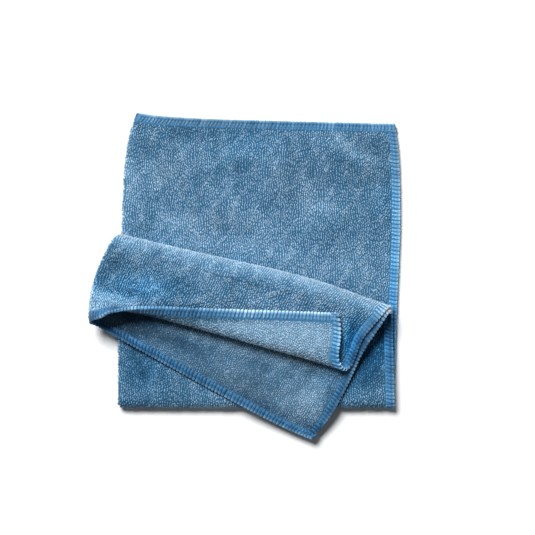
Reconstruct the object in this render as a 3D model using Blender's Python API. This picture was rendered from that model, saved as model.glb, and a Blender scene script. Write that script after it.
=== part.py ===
"""A square microfibre cloth, folded and laid down flat.

The cloth is one sheet. It is folded in half at its left side, laid down, folded up over itself at
the near side, and folded back again along a slanting line. The corner that ends up on top is
turned up once more. Every point of the flat cloth is carried through these folds in turn.

"across" runs from the lower half's side edge over the half fold, where it is 0, to the upper
half's side edge. "along" runs from the far edge, where it is 0, to the loose edge. In the folded
stack x runs to the right from the half fold, y runs away from the near fold, and z is up. Lengths
are in millimetres and angles in degrees until the points are written out in metres.
"""
from collections import namedtuple
from math import pi

import bmesh
import bpy
import numpy as np

MM = 0.001

# The cloth
LENGTH = 405.0
WIDTH = 400.0
HALF = WIDTH / 2
THICK = 2.4
HEM = 6.0                   # width of the overlocked edge
HEM_THICK = 1.8             # the stitches press the edge together
STEP = 3.0                  # from one layer to the next where they touch

# Half fold, at the left: tight, and opening towards the loose edge
HALF_RADIUS = STEP / 2
HALF_OPENS_BY = 4.5
HALF_OPENS = (366.0, 402.0)
HALF_SETTLES = 25.0

# Near fold, along the front of the stack. Both halves share one length of cloth round it, which
# each of them takes up in its own way
NEAR_AT = 204.5
NEAR_SLANT = 1.43
NEAR_RADIUS = STEP / 2
NEAR_SHARED = NEAR_RADIUS + STEP / 2

# Far fold, slanting across the stack: the two halves stand up round it in a loop
FAR_AT = 324.0
FAR_SLANT = 15.4
FAR_RADIUS = 7.2            # at the left
FAR_WIDENS = 0.2            # towards the right
FAR_SWELL = 2.0             # and this much more between them
FAR_SWELL_AT = 125.0
FAR_SWELL_WIDTH = 60.0
FAR_DROOP = 3.7             # its right end is drawn towards the near fold
FAR_DROOPS = (140.0, 200.0)
FAR_DROOP_OVER = 60.0

# Flap: what lies past the far fold. It sinks from the loop onto the stack
FLAP_SINKS_OVER = 60.0
FLAP_SHEAR = 0.045          # it leans to the right of square
FLAP_STRAIGHTENS_OVER = 70.0
CORNER_DROOP = 4.5          # its corner hangs down past the near fold
CORNER_DROOPS_OVER = 26.0

# The upper half lies behind the lower one on the flap
UPPER_LAG = 18.5
UPPER_LAG_OVER = 32.0       # from the half fold
LAG_HIDDEN = (205.0, 285.0)   # where the stack hides how it comes about
LAG_LOOSE = (300.0, 392.0)  # and by the half fold, where it doesn't
LAG_HIDDEN_ACROSS = (10.0, 110.0)

# Turned-up end of the upper half
TURN_FROM = -15.0           # where the line of its fold would meet the loose edge, across
TURN_SLANT = 12.6
TURN_RADIUS = 5.5
TURN_CURVES_BY = 16.0       # the fold bends away from the loose edge at the mouth
TURN_CURVES_OVER = 25.0
TURN_OPENS = (5.0, 95.0)    # along the fold, from the mouth to where the end is turned right over
TURN_STARTS = (-1.0, 24.0)  # across
TURN_DRIFT = 5.0            # the turned part slides this far to the left
TURN_SINKS = 5.0
TURN_SINKS_OVER = 30.0
TURNED_OVER = 2.4           # radians, from which the end counts as turned over

# Mouth: the open left end of the loose edges
MOUTH_LIFT = 7.0
MOUTH_AT = 18.0
MOUTH_WIDTH = 28.0
MOUTH_DEPTH = 36.0
TIP_LIFT = 5.0              # both halves rise at the end of the half fold
TIP_RISES = (45.0, 85.0)    # behind the far fold
TIP_WIDTH = 30.0

# The stack leans to the left on its way to the near fold
LEAN = 1.43

# How far the edge stitching draws corners and sides in, and over what lengths
FAR_LEFT_DRAW = 9.5
FAR_RIGHT_DRAW = 5.0
FAR_DRAW_ALONG = 18.0
FAR_DRAW_ACROSS = 40.0
FAR_POINT = 3.5             # the far left corner stands out
LOOSE_LEFT_DRAW = 11.0
LOOSE_RIGHT_DRAW = 6.5
LOOSE_DRAW_ALONG = 15.0
CORNER_DRAW = 4.0           # the flap's corner, back from the loose edge
CORNER_REACH = 25.0
FLAP_LEFT_DRAW = 5.0
FLAP_LEFT_FROM = (275.0, 335.0)
LEFT_DRAW_ACROSS = 60.0

# How far the open side edges are drawn in, or with a negative value stand out: of the lower half
# (-1), the upper half (1) or both (0), most at a place along them
SideDraw = namedtuple("SideDraw", "half along over by")
SIDE_DRAWS = (
    SideDraw(0, 75.0, 45.0, -1.2),
    SideDraw(-1, 325.0, 22.0, 2.5),
    SideDraw(1, 336.0, 20.0, 5.0),
    SideDraw(1, 376.0, 14.0, 4.0),
)
SIDE_DRAW_REACH = 75.0
LEFT_DRAWS = (
    SideDraw(0, 150.0, 50.0, 2.4),
    SideDraw(0, 258.0, 45.0, 2.6),
)

# Soft ridges and, with a negative rise, troughs of the layers that show
Ridge = namedtuple("Ridge", "layer x y long wide turn rise")
RIDGES = (
    Ridge("base", 158.0, -24.0, 46.0, 12.0, -33.0, 3.2),
    Ridge("base", 62.0, -42.0, 50.0, 16.0, 30.0, 1.0),
    Ridge("base", 150.0, -76.0, 60.0, 24.0, 60.0, 1.2),
    Ridge("base", 44.0, -96.0, 70.0, 20.0, -80.0, 0.8),
    Ridge("flap", -4.0, -132.0, 40.0, 9.0, -19.0, 1.6),
    Ridge("flap", 92.0, -122.0, 110.0, 16.0, -14.0, -1.0),
    Ridge("flap", 124.0, -196.0, 60.0, 14.0, -61.0, 1.4),
    Ridge("flap", 70.0, -176.0, 60.0, 14.0, -25.0, 0.9),
)

# Rows of faces from fold to fold, and columns of one half with its hem last
Rows = namedtuple("Rows", "stretch count")
ROWS = (
    Rows("far hem", 1),
    Rows("base", 12),
    Rows("near fold", 6),
    Rows("second layer", 5),
    Rows("far fold", 9),
    Rows("flap", 7),
    Rows("turn", 7),
    Rows("turned end", 4),
    Rows("loose hem", 1),
)
HALF_FOLD_COLUMNS = (0.8, 1.6, 2.4, 4.2, 7.0, 11.0, 17.0, 25.0, 35.0, 47.0, 61.0, 77.0, 95.0)
PLAIN_COLUMNS = 4
ROW_SEARCH = 1600           # steps along a column that finds its folds
NUDGE = 0.05                # to either side of a point, to find which way the cloth faces

CLOTH_BLUE = (0.12, 0.24, 0.38, 1.0)
CLOTH_ROUGHNESS = 0.95


def ease(value, low, high):
    """Rise smoothly from 0 at low to 1 at high."""
    part = np.clip((value - low) / (high - low), 0, 1)
    return part * part * (3 - 2 * part)


def fade(distance, reach):
    """Fall from 1 at no distance towards 0."""
    return np.exp(-np.maximum(distance, 0) / reach)


def hump(distance, width):
    """Rise to 1 at no distance and fall again on both sides."""
    return np.exp(-(distance / width) ** 2)


def slanted(slant):
    """Unit vectors along a fold's line, to the right, and across it, towards the near side."""
    angle = np.radians(slant)
    return (np.cos(angle), np.sin(angle)), (np.sin(angle), -np.cos(angle))


def measure(x, y, at, slant):
    """Distances of points along a fold's line and past it."""
    line, past = slanted(slant)
    return x * line[0] + (y + at) * line[1], x * past[0] + (y + at) * past[1]


def place(along_line, past_line, at, slant):
    """Points from their distances along a fold's line and past it."""
    line, past = slanted(slant)
    x = along_line * line[0] + past_line * past[0]
    y = along_line * line[1] + past_line * past[1] - at
    return x, y


def half_radius(y):
    return HALF_RADIUS + HALF_OPENS_BY * ease(-y, *HALF_OPENS)


def far_swell(x):
    return FAR_SWELL * hump(x - FAR_SWELL_AT, FAR_SWELL_WIDTH)


def far_radius(x):
    return FAR_RADIUS + FAR_WIDENS * x / HALF + far_swell(x)


def lag(across, along):
    """How far the upper half lies behind the lower half."""
    hidden = ease(across, *LAG_HIDDEN_ACROSS)
    loose = 1 - fade(across, UPPER_LAG_OVER)
    part = hidden * ease(along, *LAG_HIDDEN) + (loose - hidden) * ease(along, *LAG_LOOSE)
    return np.where(across > 0, UPPER_LAG * part, 0)


def double(across, along):
    """Fold the cloth in half: x, y, and 0 on the lower half rising to 1 on the upper half."""
    y = lag(across, along) - along
    radius = half_radius(y)
    turn = np.clip(across / radius, -pi / 2, pi / 2)
    round_fold = radius * (pi / 2 - np.cos(turn))
    x = np.where(np.abs(across) > radius * pi / 2, np.abs(across), round_fold)
    return x, y, (1 + np.sin(turn)) / 2


def spacing(x, y):
    """Height of the upper half over the lower one."""
    radius = half_radius(y)
    by_the_fold = (2 * radius - STEP) * fade(x - radius, HALF_SETTLES)
    mouth = ease(-y, LENGTH - MOUTH_DEPTH, LENGTH) * hump(x - MOUTH_AT, MOUTH_WIDTH) * ease(x, 0, MOUTH_AT)
    return STEP + by_the_fold + MOUTH_LIFT * mouth


def turn_line(across, along):
    """Distances along the turned-up end's fold and past it, on the flat cloth."""
    along_line, past_line = measure(across - TURN_FROM, -along, LENGTH, TURN_SLANT)
    return along_line, past_line + TURN_CURVES_BY * fade(across, TURN_CURVES_OVER)


def turn_up(x, y, across, along):
    """Turn the loose end of the upper half up: x, y and the height gained."""
    along_line, past_line = turn_line(across, along)
    limit = pi * ease(along_line, *TURN_OPENS) * ease(across, *TURN_STARTS)
    angle = np.clip(past_line / TURN_RADIUS, 0, limit)
    rest = np.maximum(past_line - angle * TURN_RADIUS, 0)
    level = TURN_RADIUS * np.sin(angle) + rest * np.cos(angle)
    height = TURN_RADIUS * (1 - np.cos(angle)) + rest * np.sin(angle)
    height = height - TURN_SINKS * ease(rest, 0, TURN_SINKS_OVER) * ease(angle, TURNED_OVER, pi)
    line, past = slanted(TURN_SLANT)
    drift = TURN_DRIFT * angle / pi
    moved = (across > 0) & (past_line > 0)
    x = np.where(moved, x + (level - past_line) * past[0] - drift * line[0], x)
    y = np.where(moved, y + (level - past_line) * past[1] - drift * line[1], y)
    return x, y, np.where(moved, height, 0)


def draw_in(x, y, across, along):
    """Pull the corners and the left side in."""
    to_loose = LENGTH - along
    to_side = HALF - np.abs(across)
    left = FAR_LEFT_DRAW * fade(-y, FAR_DRAW_ALONG)
    left = left + LOOSE_LEFT_DRAW * fade(LENGTH + y, LOOSE_DRAW_ALONG)
    left = left + FLAP_LEFT_DRAW * ease(-y, *FLAP_LEFT_FROM)
    for draw in LEFT_DRAWS:
        left = left + draw.by * hump(-y - draw.along, draw.over)
    right = FAR_RIGHT_DRAW * fade(along, FAR_DRAW_ALONG) * fade(to_side, FAR_DRAW_ACROSS)
    right = right + LOOSE_RIGHT_DRAW * fade(to_loose, LOOSE_DRAW_ALONG) * fade(to_side, CORNER_REACH)
    for draw in SIDE_DRAWS:
        drawn = draw.by * hump(along - draw.along, draw.over) * hump(to_side, SIDE_DRAW_REACH)
        right = right + drawn * (across * draw.half >= 0)
    corner = CORNER_DRAW * fade(to_loose, CORNER_REACH) * fade(to_side, CORNER_REACH) * (across < 0)
    point = FAR_POINT * fade(along, CORNER_REACH) * fade(x, CORNER_REACH)
    return x + left * fade(x, LEFT_DRAW_ACROSS) - right, y + corner + point


def even_out(x, y, across, at, slant, shared, own):
    """Give each half the length that its own way round a fold takes, but one at the half fold."""
    radius = shared + (own - shared) * ease(np.abs(across), HALF_RADIUS, LEFT_DRAW_ACROSS)
    along_line, past_line = measure(x, y, at, slant)
    past_line = past_line + (shared - radius) * np.clip(past_line / radius, 0, pi)
    return place(along_line, past_line, at, slant)


def shape_flap(x, y, shared):
    """Lean the flap to the right, and let the loop's swelling take no length from it."""
    along_line, past_line = measure(x, y, FAR_AT, FAR_SLANT)
    along_line = along_line + FLAP_SHEAR * np.maximum(past_line - pi * shared, 0)
    past_line = past_line + pi * far_swell(x) * ease(past_line, 0, FLAP_STRAIGHTENS_OVER)
    return place(along_line, past_line, FAR_AT, FAR_SLANT)


def lay_doubled(across, along, turned=True):
    """The doubled cloth before its near and far folds: x, y, z, and the far fold's shared radius."""
    x, y, upper = double(across, along)
    z = upper * spacing(x, y)
    if turned:
        x, y, height = turn_up(x, y, across, along)
        z = z + height
    x, y = draw_in(x, y, across, along)
    x, y = even_out(x, y, across, NEAR_AT, NEAR_SLANT, NEAR_SHARED, NEAR_RADIUS + STEP * (1 - upper))
    inner = far_radius(x)
    far_shared = inner + STEP / 2
    x, y = even_out(x, y, across, FAR_AT, FAR_SLANT, far_shared, inner + STEP * upper)
    x, y = shape_flap(x, y, far_shared)
    return x, y, z, far_shared


def bend(x, y, z, at, slant, shared, axis, way, whole=False):
    """Fold what lies past a line round an axis at a height, up (way 1) or down (way -1)."""
    along_line, past_line = measure(x, y, at, slant)
    angle = np.where(whole, pi, np.clip(past_line / shared, 0, pi))
    reach = (axis - z) * way
    level = reach * np.sin(angle) - np.where(angle >= pi, past_line - pi * shared, 0)
    folded = (angle > 0) | whole
    x, y = place(along_line, np.where(folded, level, past_line), at, slant)
    return x, y, np.where(folded, axis - way * reach * np.cos(angle), z), angle


def ridges(x, y, layer):
    """Height that the soft ridges and troughs of a layer add."""
    rise = np.zeros_like(x)
    for ridge in RIDGES:
        if ridge.layer == layer:
            line, past = slanted(ridge.turn)
            along_line = (x - ridge.x) * line[0] + (y - ridge.y) * line[1]
            past_line = (x - ridge.x) * past[0] + (y - ridge.y) * past[1]
            rise = rise + ridge.rise * hump(along_line, ridge.long / 2) * hump(past_line, ridge.wide / 2)
    return rise


def fold_cloth(across, along):
    """Carry points of the flat cloth to the middle of the folded cloth's thickness."""
    across, along = np.broadcast_arrays(np.asarray(across, float), np.asarray(along, float))
    x, y, z, far_shared = lay_doubled(across, along)
    loop = 2 * far_shared - STEP
    x, y, z, far_turn = bend(x, y, z, FAR_AT, FAR_SLANT, far_shared, -loop / 2, -1)
    flap = far_turn >= pi
    behind = -measure(x, y, FAR_AT, FAR_SLANT)[1]
    y = y + FAR_DROOP * ease(x, *FAR_DROOPS) * ease(far_turn, 0, pi / 2) * ease(-behind, -FAR_DROOP_OVER, 0)
    x, y, z, _ = bend(x, y, z, NEAR_AT, NEAR_SLANT, NEAR_SHARED, STEP + NEAR_RADIUS, 1, far_turn > 0)
    z = z - (loop - STEP) * ease(behind, 0, FLAP_SINKS_OVER) * flap
    z = z + TIP_LIFT * ease(behind, *TIP_RISES) * hump(x, TIP_WIDTH) * flap
    past_near = measure(x, y, NEAR_AT, NEAR_SLANT)[1]
    z = z - CORNER_DROOP * ease(past_near, 0, CORNER_DROOPS_OVER) * flap
    z = z + ridges(x, y, "base") * np.clip(z / STEP, 0, 1) * (far_turn <= 0)
    z = z + ridges(x, y, "flap") * flap
    return x, y, z + THICK / 2


def thickness(across, along):
    """The cloth thins towards its stitched edge."""
    to_edge = np.minimum(HALF - np.abs(across), np.minimum(along, LENGTH - along))
    return HEM_THICK + (THICK - HEM_THICK) * ease(to_edge, 0, HEM)


def column_rows(across):
    """Places along one column of the cloth, close together where it is bent."""
    along = np.linspace(0, LENGTH, ROW_SEARCH + 1)
    column = np.full_like(along, across)
    x, y, _, far_shared = lay_doubled(column, along, turned=False)
    past_near = measure(x, y, NEAR_AT, NEAR_SLANT)[1]
    past_far = measure(x, y, FAR_AT, FAR_SLANT)[1] / far_shared
    past_turn = turn_line(np.abs(column), along)[1]
    near_start, near_end = np.interp((0, pi * NEAR_SHARED), past_near, along)
    far_start, far_end = np.interp((0, pi), past_far, along)
    turn_start, turn_end = np.interp((0, pi * TURN_RADIUS), past_turn, along)
    turn_end = min(turn_end, LENGTH - 1.5 * HEM)
    stops = (0, HEM, near_start, near_end, far_start, far_end, turn_start, turn_end, LENGTH - HEM, LENGTH)
    rows = [0.0]
    for stretch, start, end in zip(ROWS, stops, stops[1:]):
        rows.extend(np.linspace(start, end, stretch.count + 1)[1:])
    return rows


def columns():
    """Places across the cloth, close together at the half fold."""
    plain = np.linspace(HALF_FOLD_COLUMNS[-1], HALF - HEM, PLAIN_COLUMNS + 2)[1:]
    half = list(HALF_FOLD_COLUMNS) + list(plain) + [HALF]
    return np.array([-value for value in reversed(half)] + [0.0] + half)


def cloth_faces():
    """Points of the cloth's two faces, a grid of columns and rows for each."""
    across = columns()
    along = np.array([column_rows(value) for value in across])
    across = np.repeat(across[:, None], along.shape[1], axis=1)
    middle = np.stack(fold_cloth(across, along), axis=-1)
    right = np.stack(fold_cloth(np.minimum(across + NUDGE, HALF), along), axis=-1)
    left = np.stack(fold_cloth(np.maximum(across - NUDGE, -HALF), along), axis=-1)
    onward = np.stack(fold_cloth(across, np.minimum(along + NUDGE, LENGTH)), axis=-1)
    back = np.stack(fold_cloth(across, np.maximum(along - NUDGE, 0)), axis=-1)
    outward = np.cross(onward - back, right - left)
    outward /= np.linalg.norm(outward, axis=-1, keepdims=True)
    outward *= thickness(across, along)[..., None] / 2
    return middle + outward, middle - outward


def lean_and_centre(faces):
    """Turn the stack by its lean, and put the middle of its box over the origin."""
    line, past = slanted(-LEAN)
    turned = [np.stack([face[..., 0] * line[0] - face[..., 1] * past[0],
                        face[..., 0] * line[1] - face[..., 1] * past[1],
                        face[..., 2]], axis=-1) for face in faces]
    points = np.concatenate([face.reshape(-1, 3) for face in turned])
    centre = (points.min(axis=0) + points.max(axis=0)) / 2
    centre[2] = 0
    return [face - centre for face in turned]


def build_cloth():
    """Join the two faces by the edge between them into one closed solid."""
    outer, inner = lean_and_centre(cloth_faces())
    last_column, last_row = (count - 1 for count in outer.shape[:2])
    mesh = bmesh.new()
    top = [[mesh.verts.new(point * MM) for point in column] for column in outer]
    bottom = [[mesh.verts.new(point * MM) for point in column] for column in inner]
    for i in range(last_column):
        for j in range(last_row):
            mesh.faces.new((top[i][j], top[i][j + 1], top[i + 1][j + 1], top[i + 1][j]))
            mesh.faces.new((bottom[i][j], bottom[i + 1][j], bottom[i + 1][j + 1], bottom[i][j + 1]))
    edge = [(i, 0) for i in range(last_column)] + [(last_column, j) for j in range(last_row)]
    edge += [(last_column - i, last_row) for i in range(last_column)]
    edge += [(0, last_row - j) for j in range(last_row)]
    for (i, j), (k, m) in zip(edge, edge[1:] + edge[:1]):
        mesh.faces.new((top[i][j], top[k][m], bottom[k][m], bottom[i][j]))
    bmesh.ops.triangulate(mesh, faces=mesh.faces[:])
    data = bpy.data.meshes.new("cloth")
    mesh.to_mesh(data)
    mesh.free()
    data.shade_smooth()
    cloth = bpy.data.objects.new("cloth", data)
    bpy.context.scene.collection.objects.link(cloth)
    return cloth


def dye(cloth):
    """Give the cloth its soft matt blue."""
    material = bpy.data.materials.new("microfibre")
    material.use_nodes = True
    shader = material.node_tree.nodes["Principled BSDF"]
    shader.inputs["Base Color"].default_value = CLOTH_BLUE
    shader.inputs["Roughness"].default_value = CLOTH_ROUGHNESS
    shader.inputs["Metallic"].default_value = 0.0
    cloth.data.materials.append(material)


def main():
    for old in list(bpy.data.objects):
        bpy.data.objects.remove(old, do_unlink=True)
    dye(build_cloth())


if __name__ == "__main__":
    main()
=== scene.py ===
from collections import namedtuple
from math import cos, pi, radians, sin

import bpy
import numpy as np
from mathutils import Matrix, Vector
from mathutils.bvhtree import BVHTree


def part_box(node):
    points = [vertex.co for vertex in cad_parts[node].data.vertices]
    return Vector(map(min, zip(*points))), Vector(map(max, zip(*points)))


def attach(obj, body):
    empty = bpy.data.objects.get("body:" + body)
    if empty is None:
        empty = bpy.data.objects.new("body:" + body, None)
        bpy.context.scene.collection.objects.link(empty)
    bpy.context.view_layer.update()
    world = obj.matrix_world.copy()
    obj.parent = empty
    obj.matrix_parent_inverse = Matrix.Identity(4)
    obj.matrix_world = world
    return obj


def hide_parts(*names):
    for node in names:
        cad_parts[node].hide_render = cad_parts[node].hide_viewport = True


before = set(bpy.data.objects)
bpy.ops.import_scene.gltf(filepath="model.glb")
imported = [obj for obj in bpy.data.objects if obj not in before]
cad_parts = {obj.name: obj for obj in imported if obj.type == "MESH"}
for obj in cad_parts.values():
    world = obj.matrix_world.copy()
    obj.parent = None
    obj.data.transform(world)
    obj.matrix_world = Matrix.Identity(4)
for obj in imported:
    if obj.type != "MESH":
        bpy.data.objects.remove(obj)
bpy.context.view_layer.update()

MM = 0.001

# ---------------------------------------------------------------- the cloth, in millimetres
LENGTH = 405.0
WIDTH = 400.0
HALF = WIDTH / 2
THICK = 2.4
HEM = 6.0                   # width of the overlocked edge
HEM_THICK = 1.8             # the stitches press the edge together
STEP = 3.0                  # from one layer to the next where they touch

# Half fold, at the left: tight, and opening towards the loose edge
HALF_RADIUS = STEP / 2
HALF_OPENS_BY = 4.5
HALF_OPENS = (366.0, 402.0)
HALF_SETTLES = 25.0

# Near fold, along the front of the stack
NEAR_AT = 204.5
NEAR_SLANT = 1.43
NEAR_RADIUS = STEP / 2
NEAR_SHARED = NEAR_RADIUS + STEP / 2

# Far fold, slanting across the stack: the two halves stand up round it in a loop
FAR_AT = 324.0
FAR_SLANT = 15.4
FAR_RADIUS = 7.2            # at the left
FAR_WIDENS = 0.2            # towards the right
FAR_SWELL = 2.0             # and this much more between them
FAR_SWELL_AT = 125.0
FAR_SWELL_WIDTH = 60.0
FAR_DROOP = 3.7             # its right end is drawn towards the near fold
FAR_DROOPS = (140.0, 200.0)
FAR_DROOP_OVER = 60.0

# Flap: what lies past the far fold. It sinks from the loop onto the stack
FLAP_SINKS_OVER = 60.0
FLAP_SHEAR = 0.045          # it leans to the right of square
FLAP_STRAIGHTENS_OVER = 70.0
CORNER_DROOP = 4.5          # its corner hangs down past the near fold
CORNER_DROOPS_OVER = 26.0

# The upper half lies behind the lower one on the flap
UPPER_LAG = 18.5
UPPER_LAG_OVER = 32.0
LAG_HIDDEN = (205.0, 285.0)
LAG_LOOSE = (300.0, 392.0)
LAG_HIDDEN_ACROSS = (10.0, 110.0)

# Turned-up end of the upper half
TURN_FROM = -15.0
TURN_SLANT = 12.6
TURN_RADIUS = 5.5
TURN_CURVES_BY = 16.0
TURN_CURVES_OVER = 25.0
TURN_OPENS = (5.0, 95.0)
TURN_STARTS = (-1.0, 24.0)
TURN_DRIFT = 5.0
TURN_SINKS = 5.0
TURN_SINKS_OVER = 30.0
TURNED_OVER = 2.4

# Mouth: the open left end of the loose edges
MOUTH_LIFT = 7.0
MOUTH_AT = 18.0
MOUTH_WIDTH = 28.0
MOUTH_DEPTH = 36.0
TIP_LIFT = 5.0
TIP_RISES = (45.0, 85.0)
TIP_WIDTH = 30.0

LEAN = 1.43                 # the stack leans to the left on its way to the near fold

# How far the edge stitching draws corners and sides in, and over what lengths
FAR_LEFT_DRAW = 9.5
FAR_RIGHT_DRAW = 5.0
FAR_DRAW_ALONG = 18.0
FAR_DRAW_ACROSS = 40.0
FAR_POINT = 3.5
LOOSE_LEFT_DRAW = 11.0
LOOSE_RIGHT_DRAW = 6.5
LOOSE_DRAW_ALONG = 15.0
CORNER_DRAW = 4.0
CORNER_REACH = 25.0
FLAP_LEFT_DRAW = 5.0
FLAP_LEFT_FROM = (275.0, 335.0)
LEFT_DRAW_ACROSS = 60.0

# How far the open side edges are drawn in, or with a negative value stand out: of the lower half
# (-1), the upper half (1) or both (0), most at a place along them
SideDraw = namedtuple("SideDraw", "half along over by")
SIDE_DRAWS = (
    SideDraw(0, 75.0, 45.0, -1.2),
    SideDraw(-1, 325.0, 22.0, 2.5),
    SideDraw(1, 336.0, 20.0, 5.0),
    SideDraw(1, 376.0, 14.0, 4.0),
)
SIDE_DRAW_REACH = 75.0
LEFT_DRAWS = (
    SideDraw(0, 150.0, 50.0, 2.4),
    SideDraw(0, 258.0, 45.0, 2.6),
)

# Ovals are given by x, y, length, width, turn and strength. These are soft ridges of the layers
# that show and, below 0, troughs, in the stack's own plan
BASE_RIDGES = (
    (158, -24, 46, 12, -33, 3.2), (62, -42, 50, 16, 30, 1.0), (150, -76, 60, 24, 60, 1.2),
    (44, -96, 70, 20, -80, 0.8),
)
FLAP_RIDGES = (
    (-4, -132, 40, 9, -19, 1.6), (92, -122, 110, 16, -14, -1.0), (124, -196, 60, 14, -61, 1.4),
    (70, -176, 60, 14, -25, 0.9),
)

# Rows of faces from fold to fold, and columns of one half from the half fold to its edge
ROW_COUNTS = (4, 64, 12, 26, 20, 36, 16, 16, 4)
FOLD_COLUMNS = (0.5, 1.0, 1.5, 2.0, 2.6, 3.4, 4.4, 5.6, 7.0, 8.6)
PLAIN_COLUMNS = 80
HEM_COLUMNS = 4
ROW_TRIALS = 1601           # places along a column that are tried for the folds
TURN_ROWS_END = 1.5 * HEM   # the turned-up end's rows end this far from the loose edge
NUDGE = 0.25                # to either side of a point, to find which way the cloth faces

# ---------------------------------------------------------------- pile
# The front is the plush side that shows on top; the back is smoother and greyer
Pile = namedtuple("Pile", "wale course long wide tall sway seed")
FRONT_PILE = Pile(1.45, 1.6, 1.95, 0.85, 1.25, 18.0, 11)
BACK_PILE = Pile(1.35, 1.6, 1.8, 0.8, 0.9, 40.0, 12)
WANDER_SEED = 1             # these are added to the pile's own seed
TONE_SEED = 5
GROUND_DROP = 0.8           # the knitted ground lies this far under the tips of the pile
GROUND_DROPS_FROM = (HEM - 1.5, HEM + 0.5)
BASE_ENDS = 282.0           # along the cloth, from where its pile belongs to the flap
PILE_MARGIN = 0.4           # from the hem to the first tufts
WANDER = 0.9                # how far a wale wanders from its line
WANDER_OVER = 11.0
WALE_SCATTER = 0.12         # how far tufts stray from their wale and their course, as a share
COURSE_SCATTER = 0.2
TUFT_UNEVEN = 0.25          # how much they differ in size, as a share
TUFT_LEAN = 11.0            # how far they lean, in degrees
CLEARANCE = 1.6             # a tuft needs this much room over it
TIP_CLEARANCE = 0.3         # and its tip stays this far over the floor
SIGHT_START = 0.25          # lines of sight start this far over the ground
SIGHT_REACH = 300.0
SIGHT_TURN = -0.2           # the cosine to a tuft's own way from which they count
SIGHTS = ((0, 0, 1), (0.8, 0, 0.6), (-0.8, 0, 0.6), (0, 0.8, 0.6), (0, -0.8, 0.6),
          (1, 0, 0.15), (-1, 0, 0.15), (0, 1, 0.15), (0, -1, 0.15))

# Smooth unevenness is a sum of waves of uneven length and direction
WAVE_COUNT = 18
WAVE_STRETCH = (0.65, 1.6)
WAVE_LEVEL = 1.2            # what brings their sum down to about 1
BRUSH_WAVES = ((0.28, 34.0, 3), (0.24, 12.0, 4))    # share, distance and seed
SHADE_LIMITS = (-2.2, 1.6)
BLUE_LIMITS = (-0.4, 2.0)

# ---------------------------------------------------------------- overlock
STITCH = 2.76               # from one stitch to the next
NEEDLE_INSET = 5.3
THREAD_SIDES = 6
HEM_LIFT = 0.25             # the threads lie this far out of the pressed edge
STITCH_UNEVEN = 0.06
STITCH_SWAY = 4.0
STITCH_LEAN = 3.0
STITCH_SEED = 31
STITCH_TONE_SEED = 21
OUTWARD_FROM = 2.0          # the way out over the edge is measured from this far inside it
THREAD_BLUE_LIMIT = 0.6     # the thread's blue grows no stronger than this

# ---------------------------------------------------------------- colours
# Ramps from deep to pale: the cloth's own blues in the middle, painted shade at the deep ends and
# painted light at the pale ends
FRONT_COLOURS = ((0.0, (0.008, 0.048, 0.100)), (0.2, (0.031, 0.121, 0.222)),
                 (0.4, (0.120, 0.275, 0.422)), (0.65, (0.28, 0.455, 0.635)),
                 (1.0, (0.55, 0.735, 0.89)))
BACK_COLOURS = ((0.0, (0.012, 0.050, 0.105)), (0.2, (0.048, 0.132, 0.225)),
                (0.4, (0.145, 0.277, 0.41)), (0.65, (0.31, 0.49, 0.66)),
                (1.0, (0.58, 0.765, 0.92)))
THREAD_COLOURS = ((0.0, (0.010, 0.072, 0.17)), (0.3, (0.05, 0.185, 0.36)),
                  (0.65, (0.18, 0.40, 0.63)), (1.0, (0.58, 0.77, 0.92)))
BLUE_GAIN = (-0.24, 0.35, 0.55)     # of red, green and blue
HEM_COLOUR_ENDS = HEM - 0.5
SPECULAR = 0.15
SHEEN_ROUGHNESS = 0.45
CLOTH_SHEEN = (0.75, 0.88, 1.0)
THREAD_SHEEN = (0.8, 0.9, 1.0)

# What a point's place on its ramp is made of. Painted light and shade run from 0 at a tuft's foot,
# painted shade between the tufts, to 1 at its tip, painted pale as if lit; tone differs from tuft
# to tuft, and shade is how the pile is brushed together with painted light, shade and shadow
PILE_LEVEL = 0.05
PILE_PAINTED_LIGHTING = 0.80
PILE_PAINTED_LIGHTING_BY_SHADE = 0.27
PILE_TONE = 0.09
PILE_SHADE = 0.05
PILE_STREAKS = 0.2
GROUND_SHADE = 0.1
HEM_KNIT = 0.6
THREAD_FIBRES = 0.25
THREAD_TONE = 0.05
THREAD_PAINTED_LIGHTING = 0.64
THREAD_SHADE = 0.26

# Scales of noise per metre, across and along the wales where there are two
STREAK_SCALE = (2600, 700, 1)
KNIT_SCALE = (1500, 700, 1)
FIBRE_SCALE = 1500
NOISE_DETAIL = 2.0
PILE_FUZZ_SCALE = 3200
THREAD_FUZZ_SCALE = 3000
FUZZ_BUMP = (0.0004, 0.6)   # distance and strength
KNIT_BUMP = (0.0006, 0.8)

# ---------------------------------------------------------------- the photograph's view, in metres
PHOTO_CENTRE = (0.0163, 0.00545)
CAMERA_HEIGHT = 1.5
PHOTO_FIELD = 0.389         # width of the floor that the picture takes in
SENSOR = 36.0               # in mm
CLIP = (0.05, 50)
FLOOR_REACH = 6.0           # from its middle to its sides
FLOOR_LEVEL = -0.0004
FLOOR_COLOUR = 0.92
LIGHT_AZIMUTH = -28         # clockwise from the far side
LIGHT_ELEVATION = 57
LIGHT_DISTANCE = 3.0
LIGHT_SIZE = 1.2
LIGHT_POWER = 129
WORLD_STRENGTH = 0.095


def ease(value, low, high):
    """Rise smoothly from 0 at low to 1 at high."""
    part = np.clip((value - low) / (high - low), 0, 1)
    return part * part * (3 - 2 * part)


def fade(distance, reach):
    """Fall from 1 at no distance towards 0."""
    return np.exp(-np.maximum(distance, 0) / reach)


def hump(distance, width):
    """Rise to 1 at no distance and fall again on both sides."""
    return np.exp(-(distance / width) ** 2)


def slanted(slant):
    """Unit vectors along a fold's line, to the right, and across it, towards the near side."""
    angle = np.radians(slant)
    return (np.cos(angle), np.sin(angle)), (np.sin(angle), -np.cos(angle))


def measure(x, y, at, slant):
    """Distances of points along a fold's line and past it."""
    line, past = slanted(slant)
    return x * line[0] + (y + at) * line[1], x * past[0] + (y + at) * past[1]


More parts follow.
